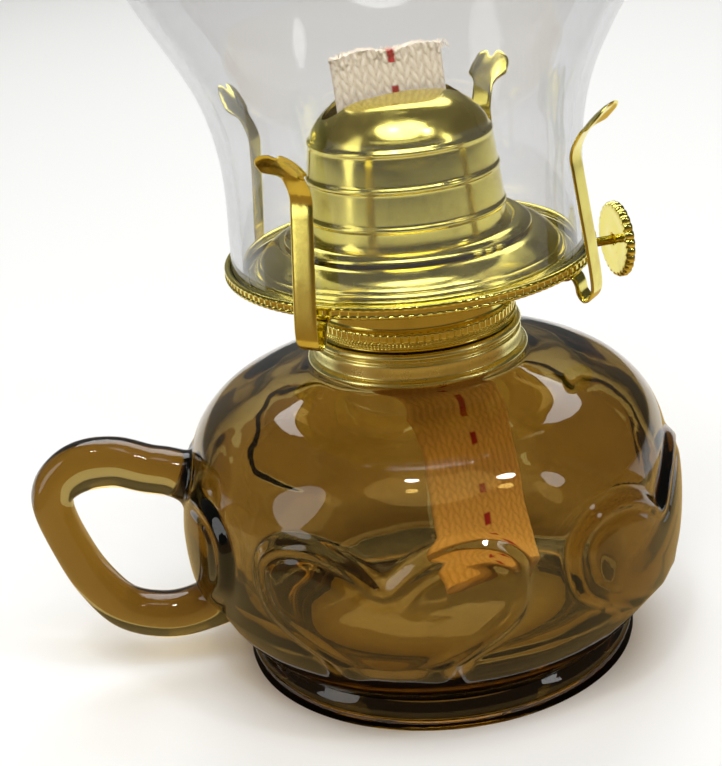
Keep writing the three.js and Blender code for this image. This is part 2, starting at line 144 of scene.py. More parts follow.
def turned_grid(outline: Profile, segments: int,
                offset: Optional[Callable[[np.ndarray, np.ndarray], np.ndarray]] = None) -> Grid:
    """Turns an outline round Z.

    The place at angle a on outline point (r, z) is ((r + offset) cos a, (r + offset) sin a, z).

    Args:
        outline: Places [radius, height].
        segments: Steps round the turn.
        offset: Gives how far the radius grows at each angle and outline index.

    Returns:
        A grid of places, outline points by segments.
    """
    angle = np.linspace(0, TURN, segments, endpoint=False)[None, :]
    radius = outline[:, :1] + np.zeros_like(angle)
    if offset is not None:
        radius = radius + offset(angle, np.arange(len(outline))[:, None])
    height = outline[:, 1:] + np.zeros_like(angle)
    return np.stack([radius * np.cos(angle), radius * np.sin(angle), height], -1)


def swept_grid(centres: np.ndarray, side: np.ndarray, out: np.ndarray, across: np.ndarray,
               thick: np.ndarray) -> Grid:
    """Carries a section along a path: place = centre + across * side + thick * out.

    Args:
        centres: Path places, one row each.
        side: The section's first direction at each place.
        out: The section's second direction at each place.
        across: Section coordinates along side, path places by section points.
        thick: Section coordinates along out, path places by section points.

    Returns:
        A grid of places, path places by section points.
    """
    return (centres[:, None, :] + across[..., None] * side[:, None, :]
            + thick[..., None] * out[:, None, :])


class Ends(Enum):
    """How the first grid direction of a surface finishes."""

    LOOP = "loop"
    CAPPED = "capped"


def grid_faces(rows: int, columns: int, ends: Ends) -> list[list[int]]:
    """Lists the faces of a grid whose second direction always closes on itself.

    Args:
        rows: Count in the first direction.
        columns: Count in the second direction.
        ends: Whether the first direction closes on itself or is capped by two flat faces.

    Returns:
        Vertex numbers of each face.
    """
    last = rows if ends is Ends.LOOP else rows - 1
    i, j = np.meshgrid(np.arange(last), np.arange(columns), indexing="ij")
    below, beside = (i + 1) % rows, (j + 1) % columns
    quads = np.stack([i * columns + j, i * columns + beside, below * columns + beside,
                      below * columns + j], -1).reshape(-1, 4).tolist()
    if ends is Ends.CAPPED:
        quads.append(list(range(columns))[::-1])
        quads.append(list(range((rows - 1) * columns, rows * columns)))
    return quads


def mesh_object(name: str, places: np.ndarray, faces: list[list[int]]) -> bpy.types.Object:
    """Makes a mesh object from places in millimetres and links it to the scene."""
    mesh = bpy.data.meshes.new(name)
    mesh.from_pydata((places.reshape(-1, 3) * MM).tolist(), [], faces)
    obj = bpy.data.objects.new(name, mesh)
    bpy.context.scene.collection.objects.link(obj)
    return obj


def grid_object(name: str, grid: Grid, ends: Ends) -> bpy.types.Object:
    """Makes a mesh object that skins a whole grid."""
    return mesh_object(name, grid, grid_faces(*grid.shape[:2], ends))


def point_out(obj: bpy.types.Object) -> bpy.types.Object:
    """Closes the seams of an object's mesh, points its faces out and gives the object back."""
    work = bmesh.new()
    work.from_mesh(obj.data)
    bmesh.ops.remove_doubles(work, verts=work.verts, dist=SEAM)
    bmesh.ops.recalc_face_normals(work, faces=work.faces)
    work.to_mesh(obj.data)
    work.free()
    return obj


def store(obj: bpy.types.Object, **values: np.ndarray) -> None:
    """Stores one number a vertex under each name, for the finish to read."""
    for name, value in values.items():
        stored = obj.data.attributes.new(name, "FLOAT", "POINT")
        stored.data.foreach_set("value", value.ravel())


@dataclass
class Piece:
    """A finished mesh object and the calls that place it in the frame."""

    name: str
    body: str
    slot: str
    replaces: Sequence[str] = ()
    sharp_degrees: float = 40.0

    def build(self, grid: Grid, ends: Ends, material: bpy.types.Material) -> bpy.types.Object:
        """Skins a grid of places in millimetres and finishes it."""
        return self.finish(grid_object(self.name, grid, ends), material)

    def finish(self, obj: bpy.types.Object, material: bpy.types.Material) -> bpy.types.Object:
        """Args:
            obj: The object to finish.
            material: The finish.

        Returns:
            The same object.
        """
        mesh = point_out(obj).data
        mesh.shade_smooth()
        mesh.set_sharp_from_angle(angle=math.radians(self.sharp_degrees))
        mesh.materials.clear()
        mesh.materials.append(material)
        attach(obj, self.body)
        if self.replaces:
            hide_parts(*self.replaces)
        LOG.info("%s: %d faces, rides on %s", self.name, len(mesh.polygons), self.body)
        return obj


def carve(target: bpy.types.Object, tool: bpy.types.Object, operation: str) -> None:
    """Joins or cuts two closed meshes, keeps the result on target and removes the tool.

    Args:
        target: The object that changes.
        tool: The object that is joined or taken away.
        operation: UNION or DIFFERENCE.
    """
    cutter = target.modifiers.new("carve", "BOOLEAN")
    cutter.operation = operation
    cutter.solver = "MANIFOLD"
    cutter.object = tool
    bpy.context.view_layer.update()
    graph = bpy.context.evaluated_depsgraph_get()
    carved = bpy.data.meshes.new_from_object(target.evaluated_get(graph))
    target.modifiers.clear()
    target.data = carved
    bpy.data.objects.remove(tool)


# ---------------------------------------------------------------------------------------------
# Finishes
# ---------------------------------------------------------------------------------------------
def linear(colour: str) -> tuple[float, float, float, float]:
    """Turns an sRGB hex colour to linear red, green, blue and alpha 1."""
    parts = [int(colour[i:i + 2], 16) / 255 for i in (1, 3, 5)]
    curve = [c / 12.92 if c <= 0.04045 else ((c + 0.055) / 1.055) ** 2.4 for c in parts]
    return (*curve, 1.0)


def add_node(tree: bpy.types.NodeTree, kind: str, inputs: Optional[dict] = None,
             **settings: object) -> bpy.types.Node:
    """Adds a node with its settings, and with each input linked or set.

    Args:
        tree: The material's or world's node tree.
        kind: The node's type name, without ShaderNode in front.
        inputs: Socket name or number to a value, a hex colour or another node's output.
        **settings: Attributes of the node itself.

    Returns:
        The new node.
    """
    made = tree.nodes.new(f"ShaderNode{kind}")
    for key, value in settings.items():
        setattr(made, key, value)
    for key, value in (inputs or {}).items():
        if isinstance(value, bpy.types.NodeSocket):
            tree.links.new(value, made.inputs[key])
        else:
            is_colour = isinstance(value, str)
            made.inputs[key].default_value = linear(value) if is_colour else value
    return made


def add_noise(tree: bpy.types.NodeTree, place: bpy.types.NodeSocket, millimetres: float,
              detail: float, **more: float) -> bpy.types.NodeSocket:
    """Adds noise that repeats at a real size, and gives its value."""
    inputs = {"Vector": place, "Scale": 1000 / millimetres, "Detail": detail, **more}
    return add_node(tree, "TexNoise", inputs).outputs["Fac"]


def add_bump(tree: bpy.types.NodeTree, height: bpy.types.NodeSocket, strength: float,
             millimetres: float, under: Optional[bpy.types.NodeSocket] = None,
             ) -> bpy.types.NodeSocket:
    """Adds a bump of a real depth, over another bump if one is given, and gives its normal."""
    inputs = {"Height": height, "Strength": strength, "Distance": millimetres * MM}
    if under is not None:
        inputs["Normal"] = under
    return add_node(tree, "Bump", inputs).outputs["Normal"]


def add_tones(tree: bpy.types.NodeTree, factor: bpy.types.NodeSocket, first: object,
              second: object, blend: str = "MIX") -> bpy.types.NodeSocket:
    """Mixes two colours, each a hex colour or a node's output, and gives the result."""
    return add_node(tree, "Mix", {"Factor": factor, "A": first, "B": second},
                    data_type="RGBA", blend_type=blend).outputs["Result"]


def new_material(name: str) -> tuple[bpy.types.Material, bpy.types.NodeTree,
                                     bpy.types.NodeSocket]:
    """Makes an empty node material, and gives its tree and the object's own coordinates too."""
    material = bpy.data.materials.new(name)
    material.use_nodes = True
    material.node_tree.nodes.clear()
    place = add_node(material.node_tree, "TexCoord").outputs["Object"]
    return material, material.node_tree, place


def show(tree: bpy.types.NodeTree, inputs: dict) -> None:
    """Ends a material in a principled surface."""
    shader = add_node(tree, "BsdfPrincipled", inputs)
    add_node(tree, "OutputMaterial", {"Surface": shader.outputs[0]})


@dataclass(frozen=True)
class PressedGlass:
    """Soda-lime glass pressed in an iron mould and fire-polished.

    Colour comes from absorption over the path in the glass, so thin walls are pale and the foot
    and handle roots go dark. The mould leaves slow ripples that bend what is seen through it.
    Shadow rays pass straight through, so that what stands inside is lit.
    """

    name: str = "amber_pressed_glass"
    passes: str = "#d3c05a"
    density: float = 300.0
    shade: str = "#f0f0f0"
    roughness: float = 0.015
    ior: float = 1.52
    ripple_mm: float = 16.0
    ripple_depth_mm: float = 0.28
    dimple_mm: float = 2.6

    def material(self) -> bpy.types.Material:
        """Builds the glass from a transmitting surface and an absorbing inside."""
        material, tree, place = new_material(self.name)
        ripple = add_noise(tree, place, self.ripple_mm, 1.0)
        dimple = add_noise(tree, place, self.dimple_mm, 2.0)
        slow = add_bump(tree, ripple, 0.8, self.ripple_depth_mm)
        both = add_bump(tree, dimple, 0.25, 0.1 * self.ripple_depth_mm, slow)
        shader = add_node(tree, "BsdfPrincipled",
                          {"Base Color": "#ffffff", "Roughness": self.roughness, "IOR": self.ior,
                           "Transmission Weight": 1.0, "Normal": both})
        through = add_node(tree, "BsdfTransparent", {"Color": self.shade})
        ray = add_node(tree, "LightPath")
        surface = add_node(tree, "MixShader", {0: ray.outputs["Is Shadow Ray"],
                                               1: shader.outputs[0], 2: through.outputs[0]})
        inside = add_node(tree, "VolumeAbsorption",
                          {"Color": self.passes, "Density": self.density})
        add_node(tree, "OutputMaterial",
                 {"Surface": surface.outputs[0], "Volume": inside.outputs[0]})
        return material


class Brushing(Enum):
    """Which way the polishing lines run on a brass piece."""

    NONE = (1.0, 1.0, 1.0)
    UPRIGHT = (1.0, 1.0, 0.04)
    AROUND = (0.12, 0.12, 6.0)


@dataclass(frozen=True)
class PlatedBrass:
    """Steel sheet drawn to shape, polished and brass plated.

    The plating is greenish yellow and mirror bright, with a fine orange peel, duller clouds
    where it has been handled and warm brown traces in places.
    """

    name: str = "plated_brass"
    bright: str = "#ecde74"
    aged: str = "#bf9f44"
    roughness: float = 0.13
    dullest: float = 0.26
    brushing: Brushing = Brushing.NONE
    line_mm: float = 0.35
    cloud_mm: float = 9.0
    peel_mm: float = 1.1

    def material(self) -> bpy.types.Material:
        """Builds the metal with clouded gloss, brushing lines and orange peel."""
        material, tree, place = new_material(self.name)
        cloud = add_noise(tree, place, self.cloud_mm, 5.0, Roughness=0.6)
        speck = add_noise(tree, place, self.peel_mm, 3.0)
        gloss = add_node(tree, "MapRange",
                         {"Value": cloud, "From Min": 0.42, "From Max": 0.72,
                          "To Min": self.roughness, "To Max": self.dullest})
        age = add_node(tree, "MapRange", {"Value": cloud, "From Min": 0.5, "From Max": 0.8,
                                          "To Min": 0.0, "To Max": 0.55})
        colour = add_tones(tree, age.outputs[0], self.bright, self.aged)
        stretched = add_node(tree, "VectorMath", {0: place, 1: self.brushing.value},
                             operation="MULTIPLY")
        lines = add_noise(tree, stretched.outputs[0], self.line_mm, 2.0)
        depth = 0.0 if self.brushing is Brushing.NONE else 0.02
        peel = add_bump(tree, speck, 0.25, 0.02)
        brushed = add_bump(tree, lines, 0.5, depth, peel)
        show(tree, {"Base Color": colour, "Metallic": 1.0, "Roughness": gloss.outputs[0],
                    "Normal": brushed})
        return material


@dataclass(frozen=True)
class PlasterCement:
    """Plaster of Paris, poured and rubbed flush: matt, off-white and finely grained."""

    name: str = "plaster_cement"
    light: str = "#d9d3c6"
    dark: str = "#b9b1a0"
    grain_mm: float = 0.7

    def material(self) -> bpy.types.Material:
        """Builds the plaster with grain in its colour and surface."""
        material, tree, place = new_material(self.name)
        grain = add_noise(tree, place, self.grain_mm, 6.0)
        show(tree, {"Base Color": add_tones(tree, grain, self.light, self.dark),
                    "Roughness": 0.9, "Normal": add_bump(tree, grain, 0.6, 0.1)})
        return material


@dataclass(frozen=True)
class WovenCotton:
    """Unbleached cotton woven as a flat wick, with one red tracer thread.

    Yarn crests are pale and hairy, the gaps between them are painted a darker warm grey as shade
    in the weave's recesses, the tracer shows as short red stitches, and lamp oil has stained the
    tail. The mesh carries the weave, and this adds the fibres.
    """

    name: str = "woven_cotton"
    crest: str = "#fff3e0"
    painted_gap_shade: str = "#c2a683"
    tracer: str = "#b3202c"
    oiled: str = "#ffdba4"
    fibre_mm: float = 0.22

    def material(self) -> bpy.types.Material:
        """Builds the cotton from the weave's attributes and fine fibres, with painted shade in the
        gaps.
        """
        material, tree, place = new_material(self.name)
        fibre = add_noise(tree, place, self.fibre_mm, 4.0)
        yarn, red, soaked = (
            add_node(tree, "Attribute", attribute_name=name).outputs["Fac"]
            for name in ("yarn", "tracer", "oiled"))
        mixed = add_node(tree, "Math", {0: yarn, 1: fibre, 2: 0.25}, operation="MULTIPLY_ADD")
        soften = add_node(tree, "Math", {0: fibre, 1: 0.35, 2: 0.1}, operation="MULTIPLY_ADD")
        level = add_node(tree, "Math", {0: yarn, 1: soften.outputs[0]}, operation="ADD",
                         use_clamp=True)
        # Painted shade: the yarn level blends from the darker gap colour in the weave's recesses
        # to the pale crest colour.
        cotton = add_tones(tree, level.outputs[0], self.painted_gap_shade, self.crest)
        stained = add_tones(tree, soaked, cotton, self.oiled, "MULTIPLY")
        show(tree, {"Base Color": add_tones(tree, red, stained, self.tracer), "Roughness": 0.95,
                    "Sheen Weight": 0.35, "Sheen Roughness": 0.4,
                    "Normal": add_bump(tree, mixed.outputs[0], 0.7, 0.12)})
        return material


@dataclass(frozen=True)
class PalePaper:
    """Seamless studio paper: matt and near white."""

    name: str = "pale_paper"
    colour: str = "#f4f4f3"

    def material(self) -> bpy.types.Material:
        """Builds the matt paper."""
        material, tree, _ = new_material(self.name)
        show(tree, {"Base Color": self.colour, "Roughness": 0.9})
        return material


# ---------------------------------------------------------------------------------------------
# Sub-assemblies
# ---------------------------------------------------------------------------------------------
def corners(node: str) -> tuple[np.ndarray, np.ndarray]:
    """Gives a CAD node's lowest and highest corners in millimetres."""
    low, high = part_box(node)
    return np.array(low) / MM, np.array(high) / MM


def dress(nodes: Sequence[str], material: bpy.types.Material) -> None:
    """Gives CAD nodes that keep their own shape a finish."""
    for name in nodes:
        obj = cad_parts[name]
        obj.data.materials.clear()
        obj.data.materials.append(material)
        LOG.info("%s: keeps its shape", name)


@dataclass
class HeartPattern:
    """The hearts pressed in relief round the body."""

    count: int = 5
    rise: float = 2.2
    edge: float = 3.2
    pillow: float = 12.0
    edge_share: float = 0.78
    groove: float = 0.38
    half: tuple = ((0, 40.3), (6, 45.2), (14, 48.2), (22.5, 47.2), (28, 42.5), (29, 36),
                   (26.5, 28.5), (18, 22), (9, 17), (0, 14.8))

    def outline(self) -> np.ndarray:
        """Gives the closed outline: one half as a smooth run, and its mirror image."""
        half = smooth_run(self.half, 60)
        return np.vstack([half, (half[1:-1] * [-1, 1])[::-1]])

    def depth(self, x: np.ndarray, z: np.ndarray) -> np.ndarray:
        """Measures how far places lie inside the outline, and 0 outside.

        The distance is the least one to any stretch of the outline. A place is inside if a line
        from it crosses the outline an odd number of times.

        Args:
            x: Places along the body.
            z: Heights.

        Returns:
            Depths with the shape of x.
        """
        start = self.outline()
        end = np.roll(start, -1, 0)
        px, pz = x.ravel()[:, None], z.ravel()[:, None]
        dx, dz = (end - start).T
        along = ((px - start[:, 0]) * dx + (pz - start[:, 1]) * dz) / (dx**2 + dz**2)
        t = np.clip(along, 0, 1)
        away = np.hypot(px - start[:, 0] - t * dx, pz - start[:, 1] - t * dz).min(1)
        spans = (start[:, 1] > pz) != (end[:, 1] > pz)
        with np.errstate(divide="ignore", invalid="ignore"):
            cross = spans & (px < dx * (pz - start[:, 1]) / dz + start[:, 0])
        inside = cross.sum(1) % 2 == 1
        return np.where(inside, away, 0).reshape(x.shape)

    def relief(self, angle: np.ndarray, z: np.ndarray, radius: float) -> np.ndarray:
        """Gives how far the glass stands out: a rounded edge and a slow pillow inside it.

        Args:
            angle: Angles round the body from the handle's plane.
            z: Heights.
            radius: Body radius on which the outline is laid.

        Returns:
            Heights of the relief.
        """
        pitch = TURN / self.count
        offset = angle - math.pi
        offset = offset - pitch * np.round(offset / pitch)
        depth = self.depth(offset * radius, z)
        puffed = 1 - (1 - np.clip(depth / self.pillow, 0, 1)) ** 2
        groove = self.groove * np.exp(-(((depth - 1.35 * self.edge) / 1.3) ** 2))
        raised = self.edge_share * smoothstep(depth / self.edge) + (1 - self.edge_share) * puffed
        return self.rise * raised - groove


@dataclass
class Font:
    """The glass font: body with hearts, foot ring, neck and finger handle, in one casting."""

    segments: int = 430
    handle_turn: float = -8.5
    heart_radius: float = 51.4
    neck_radius: float = 19.8
    neck_bore: float = 17.2
    ledge: float = 67.1
    hearts: HeartPattern = field(default_factory=HeartPattern)
    foot: tuple = ((0, 5), (26, 4.9), (33.2, 4.1), (35.6, 2.2), (36.3, 0.5), (36.9, 0),
                   (42.2, 0), (42.95, 0.7), (42.8, 4.0), (42.3, 5.3), (41.5, 6.0), (41.7, 6.8),
                   (44.2, 9), (48.0, 14))
    body: tuple = ((51.3, 20), (52.0, 27), (52.2, 34), (51.9, 41), (51.0, 48), (48.4, 54),
                   (43.9, 58.8), (37.6, 62), (31, 64), (26, 65.3), (23.6, 66.1), (22.9, 66.6))
    inside: tuple = ((17.8, 64.5), (24, 61.6), (34, 58.6), (42.4, 53.6), (46.9, 46.6), (48.6, 38),
                     (48.4, 30), (46.3, 21), (41, 13.6), (31, 9.6), (17, 8.4), (0, 8.2))
    route: tuple = ((46.5, 40), (53.5, 45.4), (60, 47.6), (67, 50.2), (74.5, 50), (80, 46.4),
                    (81.1, 41), (78.6, 31.5), (75, 23), (69.3, 15.4), (61, 12.2), (53.5, 12.6),
                    (46, 15.5))

    def body_solid(self) -> bpy.types.Object:
        """Turns the outside, with the hearts standing out from it, as a solid without a hollow."""
        _, high = corners("font")
        outline = np.vstack([
            smooth_run(self.foot, 74), smooth_run(self.body, 118)[1:],
            [[22.3, self.ledge - 0.02], [self.neck_radius + 0.2, self.ledge],
             [self.neck_radius, self.ledge + 0.2], [self.neck_radius, high[2] - 0.5],
             [self.neck_radius - 0.5, high[2]], [0, high[2]]]])

        def standing(angle: np.ndarray, index: np.ndarray) -> np.ndarray:
            """Relief at each angle and outline index, and none off the body's flank."""
            z = outline[index[:, 0], 1][:, None] + 0 * angle
            r = outline[index[:, 0], 0][:, None] + 0 * angle
            relief = self.hearts.relief(angle + 0 * z, z, self.heart_radius)
            return np.where(r > 43.5, relief, 0)

        grid = turned_grid(outline, self.segments, standing)
        return point_out(grid_object("font_body", grid, Ends.CAPPED))

    def cavity(self) -> bpy.types.Object:
        """Turns the hollow that takes the oil, up through the neck."""
        _, high = corners("font")
        outline = np.vstack([[[0, high[2] + 3], [self.neck_bore, high[2] + 3],
                              [self.neck_bore, self.ledge]], smooth_run(self.inside, 80)])
        grid = turned_grid(outline, 180)
        return point_out(grid_object("font_hollow", grid, Ends.CAPPED))

    def handle(self) -> bpy.types.Object:
        """Carries an oval along the loop; it widens as a trumpet where it enters the body."""
        route = np.array(self.route, float)
        steps = 150
        path = smooth_run(np.stack([-route[:, 0], 0 * route[:, 0], route[:, 1]], 1), steps)
        along = tangents(path)
        side = np.tile([0.0, 1.0, 0.0], (steps, 1))
        out = np.cross(along, side)
        t = np.linspace(0, 1, steps)[:, None]
        ends = np.abs(2 * t - 1)
        thick = 4.1 + 1.6 * ends**1.5 + 0.9 * np.exp(-(((t - 0.3) / 0.1) ** 2))
        wide = 4.9 + 2.6 * ends**8
        a = np.linspace(0, TURN, 48, endpoint=False)[None, :]
        squareness = 0.86
        cosine = np.sign(np.cos(a)) * np.abs(np.cos(a)) ** squareness
        sine = np.sign(np.sin(a)) * np.abs(np.sin(a)) ** squareness
        grid = swept_grid(path, side, out, wide * cosine, thick * sine)
        return point_out(grid_object("font_handle", grid, Ends.CAPPED))

    def round_the_roots(self, obj: bpy.types.Object) -> None:
        """Rounds the inner corners where the handle meets the body.

        Each vertex near a root moves toward the mean of its neighbours, over many passes, by a
        share that fades with its distance from where the two surfaces meet.

        Args:
            obj: The joined body and handle.
        """
        mesh = obj.data
        places = np.empty(len(mesh.vertices) * 3)
        mesh.vertices.foreach_get("co", places)
        places = places.reshape(-1, 3)
        edges = np.empty(len(mesh.edges) * 2, int)
        mesh.edges.foreach_get("vertices", edges)
        a, b = edges.reshape(-1, 2).T
        shared = np.bincount(np.concatenate([a, b]), minlength=len(places))[:, None]
        radius = np.hypot(places[:, 0], places[:, 1]) / MM
        height = places[:, 2] / MM
        flank = np.interp(height, *np.array(self.body).T[::-1])
        near_body = np.abs(radius - flank - 1.0)
        root_reach = 5.0
        weight = np.exp(-((near_body / root_reach) ** 2))
        across = np.abs(places[:, 1]) / MM
        beside = np.clip((across - 6.5) / 7.0, 0, 1)
        low_root = np.exp(-(((height - 13) / 9.0) ** 2))
        high_root = np.exp(-(((height - 44.5) / 9.0) ** 2))
        weight = weight * (1 - smoothstep(beside)) * np.clip(low_root + high_root, 0, 1)
        weight = np.where(places[:, 0] < -0.035, weight, 0)[:, None] * 0.5
        for _ in range(30):
            total = np.zeros_like(places)
            np.add.at(total, a, places[b])
            np.add.at(total, b, places[a])
            places = places + weight * (total / shared - places)
        mesh.vertices.foreach_set("co", places.ravel())

    def make(self, glass: bpy.types.Material) -> None:
        """Joins the body and handle, rounds the roots, hollows the font and turns it to place."""
        obj = self.body_solid()
        carve(obj, self.handle(), "UNION")
        self.round_the_roots(obj)
        carve(obj, self.cavity(), "DIFFERENCE")
        obj.data.transform(Matrix.Rotation(math.radians(self.handle_turn), 4, "Z"))
        obj.name = obj.data.name = "font_glass"
        Piece("font_glass", "lamp_base", "amber_glass", ("font",), 50).finish(obj, glass)


@dataclass
class Collar:
    """The screw collar: spun brass with a foot bead, a brushed band and a rolled rim."""

    segments: int = 180

    def make(self, brass: bpy.types.Material, plaster: bpy.types.Material) -> None:
        """Turns the collar as one outline and dresses the cement behind it."""
        low, high = corners("collar")
        base, top = low[2] + 1.2, high[2]
        foot = high[0] - 1.3
        bore = 16.2
        outside = smooth_run([
            (foot - 0.7, base + 0.05), (foot + 0.9, base), (foot + 1.28, base + 0.5),
            (foot + 0.8, base + 1.1), (foot + 0.12, base + 1.35), (foot, base + 2.0),
            (foot, base + 4.0), (foot - 0.45, base + 4.55), (foot - 0.42, base + 5.0),
            (foot + 0.08, base + 5.45), (foot + 0.1, base + 6.0), (foot - 0.4, top - 0.1),
            (foot - 1.2, top)], 90)
        inside = np.array([(bore + 0.3, top), (bore, top - 0.3), (bore, low[2] + 0.2),
                           (bore + 0.2, low[2]), (bore + 0.7, low[2]), (bore + 0.7, top - 0.8),
                           (foot - 0.8, top - 0.8), (foot - 0.8, base + 0.05)])
        grid = turned_grid(np.vstack([outside, inside]), self.segments)
        Piece("collar_brass", "lamp_base", "brass", ("collar",), 35).build(
            grid, Ends.LOOP, brass)
        dress(["collar_cement"], plaster)


@dataclass
class BurnerShell:
    """The drawn shell: screw sleeve, knurled skirt and flared mouth, with what it holds."""

    segments: int = 1008
    ribs: int = 84

    def make(self, brass: bpy.types.Material, dull: bpy.types.Material) -> None:
        """Turns the shell; its skirt waves in and out as upright ribs, then as small beads."""
        low, high = corners("burner_shell")
        base = high[2] - 12.2
        sleeve = 15.9
        wall = high[0] - 4.3
        mouth = smooth_run([(wall, base + 4.9), (wall, base + 10.0), (wall + 0.9, base + 11.2),
                            (wall + 4.2, base + 11.7)], 24)
        skirt = smooth_run([
            (sleeve + 0.2, base), (wall + 0.6, base + 0.02), (wall + 0.95, base + 0.3),
            (wall + 0.75, base + 0.6), (wall + 0.8, base + 1.1), (wall + 0.65, base + 1.7),
            (wall + 0.7, base + 2.2), (wall + 0.65, base + 3.5), (wall + 0.25, base + 4.05),
            (wall, base + 4.5)], 84)
        sleeve_line = np.array([(sleeve, low[2] + 0.3), (sleeve, base - 0.2)])
        outside = np.vstack([sleeve_line, skirt, mouth])
        middle_in = [(wall + 4.2, high[2]), (wall + 0.4, high[2] - 0.2), (wall - 0.6, base + 10.4),
                     (wall - 0.6, base + 4.4), (wall - 0.1, base + 3.6), (wall - 0.1, base + 1.2),
                     (wall - 1, base + 0.8), (sleeve - 0.7, base + 0.7), (sleeve - 0.8, base),
                     (sleeve - 0.8, low[2] + 0.3), (sleeve - 0.5, low[2]),
                     (sleeve - 0.2, low[2])]
        outline = np.vstack([outside, middle_in])
        height = outline[:, 1] - base
        last_outside = len(outside)

        def knurl(angle: np.ndarray, index: np.ndarray) -> np.ndarray:
            """Upright ribs above, and a row of zigzag beads below them."""
            z = height[index]
            outer = index < last_outside
            wave = np.cos(self.ribs * angle)
            crown = 3.55 + 0.35 * wave
            rib_zone = smoothstep((z - 1.75) / 0.2) * smoothstep((crown - z) / 0.3)
            ribs = rib_zone * (0.42 * (1 - np.abs(np.sin(self.ribs / 2 * angle)) ** 6) - 0.3)
            bead_zone = smoothstep((z - 0.55) / 0.2) * smoothstep((1.75 - z) / 0.2)
            lean = 2.6 * (z - 1.15)
            weave = np.cos(self.ribs * angle + lean) * np.cos(self.ribs * angle - lean)
            return np.where(outer, ribs + 0.2 * bead_zone * weave, 0)

        grid = turned_grid(outline, self.segments, knurl)
        Piece("burner_skirt", "burner", "brass", ("burner_shell",), 45).build(
            grid, Ends.LOOP, brass)
        dress(["burner_floor", "wick_tube", "shaft_bracket", "shaft_bush", "air_dish"]
              + [f"prong_rivet_{i}" for i in range(1, 5)], dull)


@dataclass
class Gallery:
    """The gallery: a stepped, domed deck that holds the dome, and a crimped upright rim."""

    segments: int = 938
    crimps: int = 134
    thickness: float = 0.6

    def make(self, brass: bpy.types.Material) -> None:
        """Turns one sheet from the lip to the rim; the rim's wall folds in and out in crimps."""
        low, high = corners("gallery")
        seat, rim = low[2] + 0.3, high[0]
        inner = corners("air_dish")[1][0]
        lip = corners("dome")[1][0] - 0.6
        top = high[2] - 0.3
        step = inner - lip
        middle = smooth_run([
            (lip, top), (lip + 0.22 * step, top - 0.05), (lip + 0.5 * step, top - 1.3),
            (lip + 0.74 * step, top - 3.0), (inner - 1.0, seat + 1.35), (inner - 0.7, seat + 0.75),
            (inner + 0.15, seat + 0.55), (inner + 0.5, seat + 0.1), (inner + 2.4, seat),
            (rim - 1.75, seat + 0.02), (rim - 1.42, seat + 0.5), (rim - 1.25, seat + 1.3),
            (rim - 1.0, seat + 1.85), (rim - 0.6, seat + 1.95), (rim - 0.4, seat + 1.6),
            (rim - 0.36, seat + 0.9), (rim - 0.36, seat + 0.35), (rim - 0.62, seat + 0.05)], 170)
        for groove in (inner - 2.1, inner - 1.2):
            middle[:, 1] -= 0.22 * np.exp(-(((middle[:, 0] - groove) / 0.22) ** 2))
        outline = sheet_outline(middle, self.thickness)
        radius = outline[:, 0]
        height = outline[:, 1]

        def crimp(angle: np.ndarray, index: np.ndarray) -> np.ndarray:
            """Square-shouldered upright folds on the outer wall of the rim only."""
            r, z = radius[index], height[index]
            on_wall = smoothstep((r - (rim - 1.0)) / 0.5) * smoothstep((seat + 2.2 - z) / 0.5)
            ridge = np.abs(np.cos(self.crimps / 2 * angle)) ** 10
            cell = smoothstep((seat + 1.75 - z) / 0.3) * smoothstep((z - seat - 0.25) / 0.3)
            lobe = 0.16 * (1 - cell) * np.abs(np.sin(self.crimps / 2 * angle))
            return on_wall * (0.26 * cell * (ridge - 1) + lobe - 0.1)

        grid = turned_grid(outline, self.segments, crimp)
        Piece("gallery_deck", "burner", "brass", ("gallery",), 50).build(
            grid, Ends.LOOP, brass)


